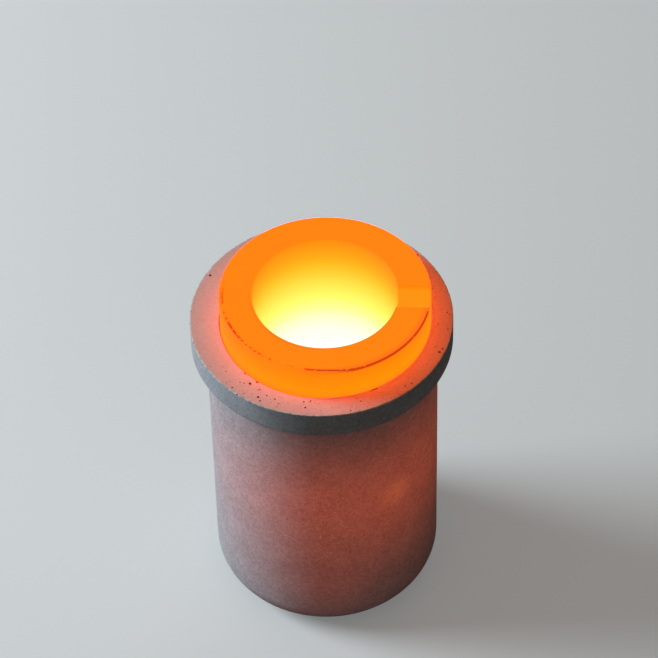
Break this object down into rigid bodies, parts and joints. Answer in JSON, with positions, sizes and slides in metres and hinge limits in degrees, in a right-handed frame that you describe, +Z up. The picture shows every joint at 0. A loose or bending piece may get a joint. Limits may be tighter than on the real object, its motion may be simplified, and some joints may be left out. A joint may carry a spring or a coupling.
{
  "type": "foundry crucible",
  "caption": "Thick-walled graphite crucible with a pouring groove in its rim, glowing hot, standing in a flanged round-bottomed pot of sandy white fused silica.",
  "frame": {"origin": "centre of the pot's base on the axis of its outside, on the surface that it stands on", "axes": "+Z up the pot's axis and out of the crucible's mouth, +X along the pouring groove"},
  "size_m": [0.08, 0.08, 0.1212],
  "materials": {
    "hot_graphite": "graphite at casting heat: an orange glow at the rim, yellow to white down the bore",
    "fused_silica": "matt, sandy, slightly translucent slip-cast fused silica with small pits"
  },
  "bodies": {
    "root": {"crucible": "hot_graphite", "pot": "fused_silica"}
  },
  "joints": []
}
